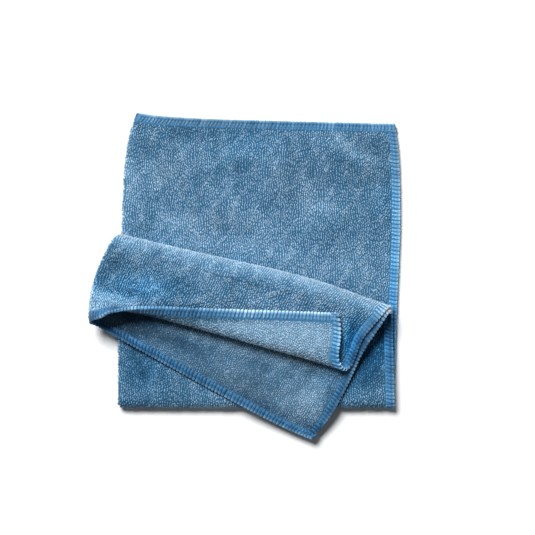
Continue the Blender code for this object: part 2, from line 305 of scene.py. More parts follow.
def place(along_line, past_line, at, slant):
    """Points from their distances along a fold's line and past it."""
    line, past = slanted(slant)
    x = along_line * line[0] + past_line * past[0]
    y = along_line * line[1] + past_line * past[1] - at
    return x, y


def half_radius(y):
    return HALF_RADIUS + HALF_OPENS_BY * ease(-y, *HALF_OPENS)


def far_swell(x):
    return FAR_SWELL * hump(x - FAR_SWELL_AT, FAR_SWELL_WIDTH)


def far_radius(x):
    return FAR_RADIUS + FAR_WIDENS * x / HALF + far_swell(x)


def lag(across, along):
    """How far the upper half lies behind the lower one."""
    hidden = ease(across, *LAG_HIDDEN_ACROSS)
    loose = 1 - fade(across, UPPER_LAG_OVER)
    part = hidden * ease(along, *LAG_HIDDEN) + (loose - hidden) * ease(along, *LAG_LOOSE)
    return np.where(across > 0, UPPER_LAG * part, 0)


def double(across, along):
    """Fold the cloth in half: x, y, and 0 on the lower half rising to 1 on the upper half."""
    y = lag(across, along) - along
    radius = half_radius(y)
    turn = np.clip(across / radius, -pi / 2, pi / 2)
    round_fold = radius * (pi / 2 - np.cos(turn))
    x = np.where(np.abs(across) > radius * pi / 2, np.abs(across), round_fold)
    return x, y, (1 + np.sin(turn)) / 2


def spacing(x, y):
    """Height of the upper half over the lower one."""
    radius = half_radius(y)
    by_the_fold = (2 * radius - STEP) * fade(x - radius, HALF_SETTLES)
    mouth = ease(-y, LENGTH - MOUTH_DEPTH, LENGTH) * hump(x - MOUTH_AT, MOUTH_WIDTH)
    return STEP + by_the_fold + MOUTH_LIFT * (mouth * ease(x, 0, MOUTH_AT))


def turn_line(across, along):
    """Distances along the turned-up end's fold and past it, on the flat cloth."""
    along_line, past_line = measure(across - TURN_FROM, -along, LENGTH, TURN_SLANT)
    return along_line, past_line + TURN_CURVES_BY * fade(across, TURN_CURVES_OVER)


def turn_up(x, y, across, along):
    """Turn the loose end of the upper half up: x, y and the height gained."""
    along_line, past_line = turn_line(across, along)
    limit = pi * ease(along_line, *TURN_OPENS) * ease(across, *TURN_STARTS)
    angle = np.clip(past_line / TURN_RADIUS, 0, limit)
    rest = np.maximum(past_line - angle * TURN_RADIUS, 0)
    level = TURN_RADIUS * np.sin(angle) + rest * np.cos(angle)
    height = TURN_RADIUS * (1 - np.cos(angle)) + rest * np.sin(angle)
    height = height - TURN_SINKS * ease(rest, 0, TURN_SINKS_OVER) * ease(angle, TURNED_OVER, pi)
    line, past = slanted(TURN_SLANT)
    drift = TURN_DRIFT * angle / pi
    moved = (across > 0) & (past_line > 0)
    x = np.where(moved, x + (level - past_line) * past[0] - drift * line[0], x)
    y = np.where(moved, y + (level - past_line) * past[1] - drift * line[1], y)
    return x, y, np.where(moved, height, 0)


def draw_in(x, y, across, along):
    """Pull the corners and the left side in."""
    to_loose = LENGTH - along
    to_side = HALF - np.abs(across)
    left = FAR_LEFT_DRAW * fade(-y, FAR_DRAW_ALONG)
    left = left + LOOSE_LEFT_DRAW * fade(LENGTH + y, LOOSE_DRAW_ALONG)
    left = left + FLAP_LEFT_DRAW * ease(-y, *FLAP_LEFT_FROM)
    for draw in LEFT_DRAWS:
        left = left + draw.by * hump(-y - draw.along, draw.over)
    right = FAR_RIGHT_DRAW * fade(along, FAR_DRAW_ALONG) * fade(to_side, FAR_DRAW_ACROSS)
    loose_right = fade(to_loose, LOOSE_DRAW_ALONG) * fade(to_side, CORNER_REACH)
    right = right + LOOSE_RIGHT_DRAW * loose_right
    for draw in SIDE_DRAWS:
        drawn = draw.by * hump(along - draw.along, draw.over) * hump(to_side, SIDE_DRAW_REACH)
        right = right + drawn * (across * draw.half >= 0)
    corner = CORNER_DRAW * fade(to_loose, CORNER_REACH) * fade(to_side, CORNER_REACH) * (across < 0)
    point = FAR_POINT * fade(along, CORNER_REACH) * fade(x, CORNER_REACH)
    return x + left * fade(x, LEFT_DRAW_ACROSS) - right, y + corner + point


def even_out(x, y, across, at, slant, shared, own):
    """Give each half the length that its own way round a fold takes, but one at the half fold."""
    radius = shared + (own - shared) * ease(np.abs(across), HALF_RADIUS, LEFT_DRAW_ACROSS)
    along_line, past_line = measure(x, y, at, slant)
    past_line = past_line + (shared - radius) * np.clip(past_line / radius, 0, pi)
    return place(along_line, past_line, at, slant)


def shape_flap(x, y, shared):
    """Lean the flap to the right, and let the loop's swelling take no length from it."""
    along_line, past_line = measure(x, y, FAR_AT, FAR_SLANT)
    along_line = along_line + FLAP_SHEAR * np.maximum(past_line - pi * shared, 0)
    past_line = past_line + pi * far_swell(x) * ease(past_line, 0, FLAP_STRAIGHTENS_OVER)
    return place(along_line, past_line, FAR_AT, FAR_SLANT)


def lay_doubled(across, along, turned=True):
    """The doubled cloth before its other folds: x, y, z, and the far fold's shared radius."""
    x, y, upper = double(across, along)
    z = upper * spacing(x, y)
    if turned:
        x, y, height = turn_up(x, y, across, along)
        z = z + height
    x, y = draw_in(x, y, across, along)
    own = NEAR_RADIUS + STEP * (1 - upper)
    x, y = even_out(x, y, across, NEAR_AT, NEAR_SLANT, NEAR_SHARED, own)
    inner = far_radius(x)
    far_shared = inner + STEP / 2
    x, y = even_out(x, y, across, FAR_AT, FAR_SLANT, far_shared, inner + STEP * upper)
    x, y = shape_flap(x, y, far_shared)
    return x, y, z, far_shared


def bend(x, y, z, at, slant, shared, axis, way, whole=False):
    """Fold what lies past a line round an axis at a height, up (way 1) or down (way -1)."""
    along_line, past_line = measure(x, y, at, slant)
    angle = np.where(whole, pi, np.clip(past_line / shared, 0, pi))
    reach = (axis - z) * way
    level = reach * np.sin(angle) - np.where(angle >= pi, past_line - pi * shared, 0)
    folded = (angle > 0) | whole
    x, y = place(along_line, np.where(folded, level, past_line), at, slant)
    return x, y, np.where(folded, axis - way * reach * np.cos(angle), z), angle


def swell(ovals, x, y):
    """What ovals add up to at points, each strongest in its middle."""
    total = np.zeros_like(x)
    for oval_x, oval_y, long, wide, turn, strength in ovals:
        line, past = slanted(turn)
        along_line = (x - oval_x) * line[0] + (y - oval_y) * line[1]
        past_line = (x - oval_x) * past[0] + (y - oval_y) * past[1]
        total = total + strength * hump(along_line, long / 2) * hump(past_line, wide / 2)
    return total


def fold_cloth(across, along):
    """Carry points of the flat cloth to the middle of the folded cloth's thickness."""
    across, along = np.broadcast_arrays(np.asarray(across, float), np.asarray(along, float))
    x, y, z, far_shared = lay_doubled(across, along)
    loop = 2 * far_shared - STEP
    x, y, z, far_turn = bend(x, y, z, FAR_AT, FAR_SLANT, far_shared, -loop / 2, -1)
    flap = far_turn >= pi
    behind = -measure(x, y, FAR_AT, FAR_SLANT)[1]
    droop = ease(x, *FAR_DROOPS) * ease(far_turn, 0, pi / 2) * ease(-behind, -FAR_DROOP_OVER, 0)
    y = y + FAR_DROOP * droop
    axis = STEP + NEAR_RADIUS
    x, y, z, _ = bend(x, y, z, NEAR_AT, NEAR_SLANT, NEAR_SHARED, axis, 1, whole=far_turn > 0)
    z = z - (loop - STEP) * ease(behind, 0, FLAP_SINKS_OVER) * flap
    z = z + TIP_LIFT * ease(behind, *TIP_RISES) * hump(x, TIP_WIDTH) * flap
    past_near = measure(x, y, NEAR_AT, NEAR_SLANT)[1]
    z = z - CORNER_DROOP * ease(past_near, 0, CORNER_DROOPS_OVER) * flap
    z = z + swell(BASE_RIDGES, x, y) * np.clip(z / STEP, 0, 1) * (far_turn <= 0)
    z = z + swell(FLAP_RIDGES, x, y) * flap
    return x, y, z + THICK / 2


def edge_distance(across, along):
    return np.minimum(HALF - np.abs(across), np.minimum(along, LENGTH - along))


def thickness(across, along):
    """The cloth thins towards its stitched edge."""
    return HEM_THICK + (THICK - HEM_THICK) * ease(edge_distance(across, along), 0, HEM)


def leaned(x, y, z):
    """Turn points of the stack by its lean."""
    line, past = slanted(-LEAN)
    return np.stack([x * line[0] - y * past[0], x * line[1] - y * past[1], z], axis=-1)


def unit(vectors):
    return vectors / np.linalg.norm(vectors, axis=-1, keepdims=True)


def on_flat(across, along):
    """Points of the flat cloth, in metres."""
    return np.stack([across, along, np.zeros_like(across)], axis=-1) * MM


def cloth_frame(across, along):
    """Middle of the cloth, the way along it and the way its front faces, in the leaned stack."""
    middle = leaned(*fold_cloth(across, along))
    right = leaned(*fold_cloth(np.minimum(across + NUDGE, HALF), along))
    left = leaned(*fold_cloth(np.maximum(across - NUDGE, -HALF), along))
    onward = leaned(*fold_cloth(across, np.minimum(along + NUDGE, LENGTH)))
    back = leaned(*fold_cloth(across, np.maximum(along - NUDGE, 0)))
    front = unit(np.cross(onward - back, right - left))
    return middle, unit(onward - back), front


def ground_level(across, along):
    """How far the knitted ground lies from the middle of the cloth: under the pile, less far."""
    drop = GROUND_DROP * ease(edge_distance(across, along), *GROUND_DROPS_FROM)
    return thickness(across, along) / 2 - drop


def column_rows(across):
    """Places along one column of the cloth, close together where it is bent."""
    along = np.linspace(0, LENGTH, ROW_TRIALS)
    column = np.full_like(along, across)
    x, y, _, far_shared = lay_doubled(column, along, turned=False)
    past_near = measure(x, y, NEAR_AT, NEAR_SLANT)[1]
    past_far = measure(x, y, FAR_AT, FAR_SLANT)[1] / far_shared
    past_turn = turn_line(np.abs(column), along)[1]
    near_start, near_end = np.interp((0, pi * NEAR_SHARED), past_near, along)
    far_start, far_end = np.interp((0, pi), past_far, along)
    turn_start, turn_end = np.interp((0, pi * TURN_RADIUS), past_turn, along)
    turn_end = min(turn_end, LENGTH - TURN_ROWS_END)
    stops = (0, HEM, near_start, near_end, far_start, far_end, turn_start, turn_end,
             LENGTH - HEM, LENGTH)
    rows = [0.0]
    for count, start, end in zip(ROW_COUNTS, stops, stops[1:]):
        rows.extend(np.linspace(start, end, count + 1)[1:])
    return rows


def columns():
    """Places across the cloth, close together at the half fold and in the hems."""
    plain = np.linspace(FOLD_COLUMNS[-1], HALF - HEM, PLAIN_COLUMNS + 1)[1:]
    hem = np.linspace(HALF - HEM, HALF, HEM_COLUMNS + 1)[1:]
    half = np.concatenate([FOLD_COLUMNS, plain, hem])
    return np.concatenate([-half[::-1], [0.0], half])


# ---------------------------------------------------------------- soft unevenness
def waves(across, along, over, seed):
    """A smooth uneven field of about -1 to 1 on the flat cloth, of bumps about this far apart."""
    random = np.random.default_rng(seed)
    total = np.zeros(np.broadcast(across, along).shape)
    angles = random.uniform(0, pi, WAVE_COUNT)
    phases = random.uniform(0, 2 * pi, WAVE_COUNT)
    for angle, phase, stretch in zip(angles, phases, random.uniform(*WAVE_STRETCH, WAVE_COUNT)):
        turn = 2 * pi / (over * stretch)
        total += np.sin((across * cos(angle) + along * sin(angle)) * turn + phase)
    return total / WAVE_COUNT ** 0.5 / WAVE_LEVEL


# Ovals, paler above 0 and darker below it, placed from the middle of the finished scene: where the
# pile is brushed the other way, and painted light where the cloth faces the light, and painted
# shade and shadow where it faces away, in the mouth, under the loop and under the turned end
BASE_SHADES = (
    (-45, 104, 25, 12, -5, -1.0), (-69, 91, 17, 7, 10, -0.6), (-3, 79, 26, 10, 8, -1.1),
    (-32, 71, 25, 7, 15, -0.6), (-61, 56, 13, 7, 0, -0.6), (17, 49, 13, 9, 0, -0.7),
    (75, 66, 36, 6, 0, -0.9), (71, 82, 16, 10, -40, -0.7), (95, 93, 22, 15, 20, -0.8),
    (104, 62, 51, 13, 90, -0.6), (69, 31, 25, 9, -10, -0.7), (102, 29, 15, 9, 0, -0.5),
    (40, 91, 17, 12, 0, -0.3), (33, 62, 19, 19, 0, -0.3), (71, 98, 26, 6, -50, 1.1),
    (88, 85, 25, 5, -15, 0.9), (56, 50, 25, 10, 0, 0.8), (-47, 41, 36, 12, 0, 0.5),
    (-58, 80, 29, 10, 0, 0.3), (-7, 91, 19, 6, 0, 0.3), (-77, -69, 44, 17, 90, -0.9),
    (-61, -91, 44, 9, 0, -0.5), (-69, -82, 15, 10, 0, 0.4), (85, -65, 36, 17, 60, -1.3),
    (102, -40, 29, 12, 75, -1.2), (91, -85, 29, 9, 0, 0.3), (91, -95, 44, 6, 0, -0.7),
    (112, 44, 160, 7, 89, 0.9), (8, 111, 174, 4, -1, -0.3), (-74, -71, 65, 51, 90, -0.85),
    (93, -65, 65, 44, 90, -0.8), (98, -47, 58, 22, 72, -1.2), (-85, 65, 95, 9, 90, 0.8),
    (-21, 28, 95, 19, -8, 0.45), (29, 14, 80, 15, -14, 0.5), (84, 0, 44, 15, -20, 0.5),
    (-11, 100, 167, 13, 0, -0.4), (88, 58, 51, 16, 0, -0.4), (54, 91, 36, 18, 0, -0.3),
    (93, -47, 29, 15, 65, 0.5), (20, 56, 22, 19, 0, 0.3), (-53, 72, 36, 25, 0, 0.25),
    (-11, 41, 29, 10, 0, 0.25), (102, 51, 17, 15, 0, -0.3), (-3, 113, 58, 6, -1, 0.25),
    (93, -50, 26, 13, 65, 0.4), (92, -52, 29, 13, 65, 0.3), (-69, -65, 36, 29, 0, -0.2),
)
FLAP_SHADES = (
    (-54, 20, 65, 7, -10, 1.1), (4, 6, 65, 7, -14, 1.2), (59, -9, 65, 7, -17, 1.5),
    (97, -23, 29, 8, -22, 1.6), (-92, 9, 19, 15, 20, -1.0), (-101, -4, 15, 10, 90, -0.6),
    (-63, 7, 22, 15, 90, -0.8), (-45, -8, 17, 12, -10, -0.9), (-35, 2, 13, 9, 90, -0.6),
    (-12, -12, 19, 15, 90, -0.6), (13, -7, 29, 15, -14, -0.3), (-67, -7, 22, 4, 80, 0.4),
    (-107, -15, 15, 12, 0, 1.3), (-89, -18, 25, 6, -20, 1.2), (-82, -31, 58, 10, -5, -1.5),
    (33, -43, 65, 16, -8, 1.3), (-7, -37, 32, 9, -10, 0.9), (48, -55, 29, 9, -20, 0.9),
    (-11, -75, 131, 44, -25, -0.45), (4, -63, 87, 9, -17, -0.5), (49, -88, 22, 19, 40, 1.1),
    (53, -111, 19, 9, -25, -0.7), (78, -41, 29, 13, 72, -1.7), (73, -66, 12, 6, 0, 1.2),
    (-21, -80, 240, 12, -25, -1.1), (65, -89, 65, 12, 62, -1.3), (88, -49, 55, 12, 58, -1.0),
    (4, -28, 124, 7, -2, -0.6), (22, -40, 95, 25, -8, 0.5), (-76, -41, 51, 12, -10, -1.2),
    (-47, -46, 36, 9, -15, -0.7), (-29, -30, 65, 7, -4, -1.2), (70, -46, 44, 5, 88, 1.0),
    (-95, -17, 35, 5, -17, 1.6), (-79, -13, 33, 7, -15, -0.9), (-85, -41, 65, 17, -18, -0.7),
    (-43, -49, 36, 10, -15, -0.6), (-3, -73, 109, 36, -20, -0.25), (-58, -27, 65, 7, 0, -1.0),
    (-92, -44, 58, 12, -33, -1.2), (-76, -34, 51, 13, -15, -0.7), (-7, -71, 124, 44, -22, -0.35),
    (-14, 5, 160, 22, -14, 0.3), (22, -42, 116, 32, -10, 0.5), (-14, 2, 189, 44, -15, 0.3),
    (76, -51, 36, 9, 80, -0.9), (-53, -24, 65, 10, -1, -1.3), (-61, -19, 80, 9, -3, 0.8),
    (-7, -31, 65, 6, -4, -0.9), (80, -17, 51, 12, -25, 0.6), (75, -31, 29, 12, 60, 0.5),
    (-96, -31, 44, 9, -18, 0.8), (-40, -44, 36, 10, -15, 0.5), (29, -56, 58, 6, -17, 0.6),
    (48, -70, 29, 7, -17, -0.9), (-24, -76, 44, 13, -28, 0.45), (-74, -9, 58, 20, -3, -0.35),
    (83, -11, 36, 9, -20, 0.6), (-99, -30, 36, 10, -18, 0.6), (13, -49, 44, 7, -17, 0.4),
    (-32, -71, 29, 10, -20, 0.4), (33, -39, 80, 22, -8, 0.4), (75, -46, 26, 11, 78, -1.0),
)

# And where the blue is stronger, mostly where cloth throws light on cloth, or below 0 greyer
BASE_BLUES = (
    (112, -18, 124, 12, 89, 0.65), (93, -55, 47, 19, 62, 1.2), (4, 94, 44, 20, 0, 0.2),
    (80, 84, 22, 12, 0, 0.15), (102, 56, 29, 22, 0, 0.2), (-69, 21, 44, 12, 0, 0.2),
    (-4, 9, 32, 12, -12, 0.25), (-71, -68, 29, 32, 0, 0.35), (88, 84, 36, 51, 0, -0.15),
    (37, 69, 44, 44, 0, -0.15), (-54, 75, 36, 29, 0, -0.15), (-18, 39, 44, 17, 0, -0.15),
    (-21, 113, 109, 7, -1, -0.4),
)
FLAP_BLUES = (
    (-74, -9, 58, 20, -3, 0.75), (75, -47, 28, 12, 78, 1.8), (66, -63, 36, 13, 60, 0.35),
    (0, -11, 364, 189, 0, 0.05), (-9, -44, 51, 10, -10, 0.15), (0, -80, 65, 22, -20, -0.2),
    (-69, -42, 51, 10, -15, -0.3),
)


def patched(base, flap, points, along):
    """What the ovals of the base or the flap add up to at points of the cloth."""
    x, y = points[..., 0], points[..., 1]
    return np.where(along > BASE_ENDS, swell(flap, x, y), swell(base, x, y))


def nap_and_painted_shade(points, across, along):
    """How pale the pile looks, and below 0 how dark: its brushing, and painted light, shade and
    shadow.
    """
    shade = patched(BASE_SHADES, FLAP_SHADES, points, along)
    for share, over, seed in BRUSH_WAVES:
        shade = shade + share * waves(across, along, over, seed)
    return np.clip(shade, *SHADE_LIMITS)


def bluer(points, along):
    """How much stronger the blue is, or below 0 greyer: mostly painted light that cloth throws on
    cloth.
    """
    return np.clip(patched(BASE_BLUES, FLAP_BLUES, points, along), *BLUE_LIMITS)


# ---------------------------------------------------------------- meshes
def new_object(name, mesh):
    made = bpy.data.objects.new(name, mesh)
    bpy.context.scene.collection.objects.link(made)
    return made


def keep(mesh, values_of):
    """Store numbers or vectors at a mesh's points under their names."""
    for name, values in values_of.items():
        values = np.asarray(values, np.float32)
        kind, field = ("FLOAT", "value") if values.ndim == 1 else ("FLOAT_VECTOR", "vector")
        attribute = mesh.attributes.new(name, kind, "POINT")
        attribute.data.foreach_set(field, values.ravel())


def grid_faces(count_across, count_along, flip):
    """Corner numbers of a grid's faces."""
    i, j = np.meshgrid(np.arange(count_across - 1), np.arange(count_along - 1), indexing="ij")
    here = i * count_along + j
    faces = np.stack([here, here + 1, here + count_along + 1, here + count_along], axis=-1)
    faces = faces.reshape(-1, 4)
    return faces[:, ::-1] if flip else faces


def rim_faces(count_across, count_along):
    """Faces of the narrow edge between the two sides."""
    numbers = np.arange(count_across * count_along).reshape(count_across, count_along)
    numbers = np.concatenate([numbers[:-1, 0], numbers[-1, :-1], numbers[:0:-1, -1],
                              numbers[0, :0:-1]])
    onward = np.roll(numbers, -1)
    below = count_across * count_along
    return np.stack([numbers, onward, onward + below, numbers + below], axis=-1)


def settle(points):
    """The move that puts the sheet's middle over the CAD box's, and its underside on the floor."""
    low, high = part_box("cloth")
    middle = (points.min(axis=0) + points.max(axis=0)) / 2
    return np.array([(low[0] + high[0]) / 2 / MM - middle[0],
                     (low[1] + high[1]) / 2 / MM - middle[1],
                     low[2] / MM])


def make_sheet():
    """The cloth's two faces and its edge as one closed mesh, and the move that centres it."""
    across = columns()
    along = np.array([column_rows(value) for value in across])
    across = np.repeat(across[:, None], along.shape[1], axis=1)
    middle, _, front = cloth_frame(across, along)
    level = ground_level(across, along)[..., None]
    points = np.stack([middle + front * level, middle - front * level]).reshape(-1, 3)
    move = settle(points)
    faces = np.concatenate([grid_faces(*across.shape, False),
                            grid_faces(*across.shape, True) + across.size,
                            rim_faces(*across.shape)])
    mesh = bpy.data.meshes.new("cloth_sheet")
    mesh.from_pydata((points + move) * MM, [], faces.tolist())
    mesh.shade_smooth()
    keep(mesh, {
        "flat": np.tile(on_flat(across, along).reshape(-1, 3), (2, 1)),
        "shade": np.tile(nap_and_painted_shade(middle + move, across, along).ravel(), 2),
        "blue": np.tile(bluer(middle + move, along).ravel(), 2),
        "inset": np.tile(edge_distance(across, along).ravel(), 2) * MM,
    })
    return new_object("cloth_sheet", mesh), move


# ---------------------------------------------------------------- nodes
def maths(tree, operation, first, second):
    """What two numbers or sockets come to."""
    node = tree.nodes.new("ShaderNodeMath")
    node.operation = operation
    for given, value in zip(node.inputs, (first, second)):
        if isinstance(value, (int, float)):
            given.default_value = value
        else:
            tree.links.new(value, given)
    return node.outputs[0]


def enabled(sockets, label):
    """The socket of that name that is in use; some nodes have one for each kind of data."""
    return next(one for one in sockets if one.name == label and one.enabled)


def add(tree, kind, **settings):
    node = tree.nodes.new(kind)
    for key, value in settings.items():
        setattr(node, key, value)
    return node


def scatter_tree():
    """Instances of a shape on points, stood on the cloth and swayed, then made real."""
    tree = bpy.data.node_groups.new("stand_on_cloth", "GeometryNodeTree")
    for label, kind in (("Geometry", "Geometry"), ("Shape", "Object"), ("Long", "Float"),
                        ("Wide", "Float"), ("Tall", "Float"), ("Uneven", "Float"),
                        ("Sway", "Float"), ("Lean", "Float"), ("Seed", "Int"),
                        ("Finish", "Material")):
        tree.interface.new_socket(label, in_out="INPUT", socket_type="NodeSocket" + kind)
    tree.interface.new_socket("Geometry", in_out="OUTPUT", socket_type="NodeSocketGeometry")
    given, out = add(tree, "NodeGroupInput"), add(tree, "NodeGroupOutput")
    join = tree.links.new

    def named(label):
        """A vector that each point keeps under a name."""
        node = add(tree, "GeometryNodeInputNamedAttribute", data_type="FLOAT_VECTOR")
        node.inputs["Name"].default_value = label
        return enabled(node.outputs, "Attribute")

    def spread(label, number, middle=0.0):
        """A random number for each point, no further than a named size from a middle."""
        node = add(tree, "FunctionNodeRandomValue", data_type="FLOAT")
        size = given.outputs[label]
        join(maths(tree, "SUBTRACT", middle, size), enabled(node.inputs, "Min"))
        join(maths(tree, "ADD", middle, size), enabled(node.inputs, "Max"))
        join(maths(tree, "ADD", given.outputs["Seed"], number), enabled(node.inputs, "Seed"))
        return enabled(node.outputs, "Value")

    points = add(tree, "GeometryNodeMeshToPoints", mode="VERTICES")
    join(given.outputs["Geometry"], points.inputs["Mesh"])
    shape = add(tree, "GeometryNodeObjectInfo")
    join(given.outputs["Shape"], shape.inputs["Object"])
    stand = add(tree, "FunctionNodeAxesToRotation", primary_axis="Z", secondary_axis="Y")
    join(named("facing"), stand.inputs["Primary Axis"])
    join(named("wale"), stand.inputs["Secondary Axis"])

    turn = add(tree, "ShaderNodeCombineXYZ")
    for number, (axis, label) in enumerate((("X", "Lean"), ("Y", "Lean"), ("Z", "Sway")), 1):
        join(spread(label, number), turn.inputs[axis])
    swayed = add(tree, "FunctionNodeEulerToRotation")
    join(turn.outputs[0], swayed.inputs[0])
    rotate = add(tree, "FunctionNodeRotateRotation", rotation_space="LOCAL")
    join(stand.outputs[0], rotate.inputs[0])
    join(swayed.outputs[0], rotate.inputs[1])

    sizes = add(tree, "ShaderNodeCombineXYZ")
    for number, (axis, label) in enumerate((("X", "Wide"), ("Y", "Long"), ("Z", "Tall")), 4):
        size = maths(tree, "MULTIPLY", given.outputs[label], spread("Uneven", number, 1.0))
        join(size, sizes.inputs[axis])

    stood = add(tree, "GeometryNodeInstanceOnPoints")
    join(points.outputs[0], stood.inputs["Points"])
    join(shape.outputs["Geometry"], stood.inputs["Instance"])
    join(rotate.outputs[0], stood.inputs["Rotation"])
    join(sizes.outputs[0], stood.inputs["Scale"])
    real = add(tree, "GeometryNodeRealizeInstances")
    join(stood.outputs[0], real.inputs[0])
    finish = add(tree, "GeometryNodeSetMaterial")
    join(real.outputs[0], finish.inputs["Geometry"])
    join(given.outputs["Finish"], finish.inputs["Material"])
    join(finish.outputs[0], out.inputs[0])
    return tree


def grow(name, tree, places, kept, sizes):
    """Stand a shape on places of the cloth, in mm, by the tree, and make one plain mesh of it."""
    points = bpy.data.meshes.new(name + "_places")
    points.from_pydata((places * MM).tolist(), [], [])
    keep(points, kept)
    holder = new_object(name + "_places", points)
    modifier = holder.modifiers.new("grow", "NODES")
    modifier.node_group = tree
    for item in tree.interface.items_tree:
        if item.item_type == "SOCKET" and item.in_out == "INPUT" and item.name in sizes:
            modifier[item.identifier] = sizes[item.name]
    holder.update_tag()
    graph = bpy.context.evaluated_depsgraph_get()
    graph.update()
    mesh = bpy.data.meshes.new_from_object(holder.evaluated_get(graph), depsgraph=graph)
    for helper in (holder, sizes["Shape"]):
        bpy.data.objects.remove(helper, do_unlink=True)
    mesh.name = name
    mesh.shade_smooth()
    print(name, "stands on", len(places), "places")
    return new_object(name, mesh)


# ---------------------------------------------------------------- pile tufts
def tuft_shape():
    """A low tuft one unit long, wide and tall, with its foot a little under the surface."""
    points = [(0.0, -0.5, -0.15), (0.5, 0.0, -0.15), (0.0, 0.5, -0.15), (-0.5, 0.0, -0.15),
              (0.0, -0.34, 0.8), (0.0, 0.34, 1.0)]
    faces = [(0, 1, 4), (1, 2, 5), (1, 5, 4), (2, 3, 5), (3, 0, 4), (3, 4, 5)]
    mesh = bpy.data.meshes.new("tuft")
    mesh.from_pydata(points, [], faces)
    mesh.shade_smooth()
    # painted light and shade: 0 at the foot, painted shade between the tufts, to 1 at the tip,
    # painted pale as if lit
    keep(mesh, {"painted_lighting": [0.0] * 4 + [0.85, 1.0]})
    return new_object("tuft", mesh)


def tuft_places(pile):
    """Places of tufts on the flat cloth: wandering wales, each a row of uneven courses."""
    random = np.random.default_rng(pile.seed)
    inner = HEM + PILE_MARGIN
    wales = np.arange(-HALF + inner, HALF - inner, pile.wale)
    courses = np.arange(inner, LENGTH - inner, pile.course)
    across, along = np.meshgrid(wales, courses, indexing="ij")
    along = along + (np.arange(len(wales)) % 2)[:, None] * pile.course / 2
    across = across + WANDER * waves(across, along, WANDER_OVER, pile.seed + WANDER_SEED)
    across = across + random.normal(0, WALE_SCATTER * pile.wale, across.shape)
    along = along + random.normal(0, COURSE_SCATTER * pile.course, along.shape)
    across = np.clip(across, -HALF + HEM, HALF - HEM)
    return across.ravel(), np.clip(along, HEM, LENGTH - HEM).ravel()


def open_places(sheet, points, facing):
    """Which places have room over them and are seen from somewhere outside."""
    vertices = [tuple(v.co) for v in sheet.data.vertices]
    faces = [tuple(f.vertices) for f in sheet.data.polygons]
    tree = BVHTree.FromPolygons(vertices, faces)
    sights = unit(np.array(SIGHTS))
    seen = np.zeros(len(points), bool)
    for number, (point, way) in enumerate(zip(points, facing)):
        start = Vector(point + way * SIGHT_START * MM)
        if tree.ray_cast(start, Vector(way), CLEARANCE * MM)[0] is not None:
            continue
        seen[number] = any(sight @ way > SIGHT_TURN
                           and tree.ray_cast(start, Vector(sight), SIGHT_REACH * MM)[0] is None
                           for sight in sights)
    return seen


def grow_pile(name, sheet, move, pile, side, part, tree, material):
    """Tufts on one side of a part of the cloth, wherever they would show."""
    across, along = tuft_places(pile)
    chosen = (along > part[0]) & (along <= part[1])
    across, along = across[chosen], along[chosen]
    middle, onward, front = cloth_frame(across, along)
    facing = front * side
    surface = middle + facing * ground_level(across, along)[:, None] + move
    over_floor = surface[:, 2] + facing[:, 2] > TIP_CLEARANCE
    seen = open_places(sheet, surface * MM, facing) & over_floor
    tone = np.random.default_rng(pile.seed + TONE_SEED).normal(0, 1, seen.sum())
    return grow(name, tree, surface[seen], {
        "facing": facing[seen], "wale": onward[seen], "flat": on_flat(across, along)[seen],
        "shade": nap_and_painted_shade(middle + move, across, along)[seen],
        "blue": bluer(middle + move, along)[seen], "tone": tone,
    }, {
        "Shape": tuft_shape(), "Long": pile.long * MM, "Wide": pile.wide * MM,
        "Tall": pile.tall * MM, "Uneven": TUFT_UNEVEN, "Sway": radians(pile.sway),
        "Lean": radians(TUFT_LEAN), "Seed": pile.seed, "Finish": material,
    })


# ---------------------------------------------------------------- overlock stitches
def thread(path, widths, talls):
    """Points and faces of a closed tube along a path, wide along u and tall outwards."""
    ahead = unit(np.gradient(path, axis=0))
    u = np.array([1.0, 0.0, 0.0])
    across = unit(u - (ahead @ u)[:, None] * ahead)
    out = np.cross(ahead, across)
    sides = THREAD_SIDES
    turns = 2 * pi * np.arange(sides) / sides
    points = [p + a * w * cos(t) + o * h * sin(t)
              for p, a, o, w, h in zip(path, across, out, widths, talls) for t in turns]
    faces = []
    for ring in range(len(path) - 1):
        for k in range(sides):
            here = ring * sides + k
            onward = ring * sides + (k + 1) % sides
            faces.append((here, onward, onward + sides, here + sides))
    faces.append(tuple(range(sides - 1, -1, -1)))
    last = (len(path) - 1) * sides
    faces.append(tuple(last + k for k in range(sides)))
    return points, faces


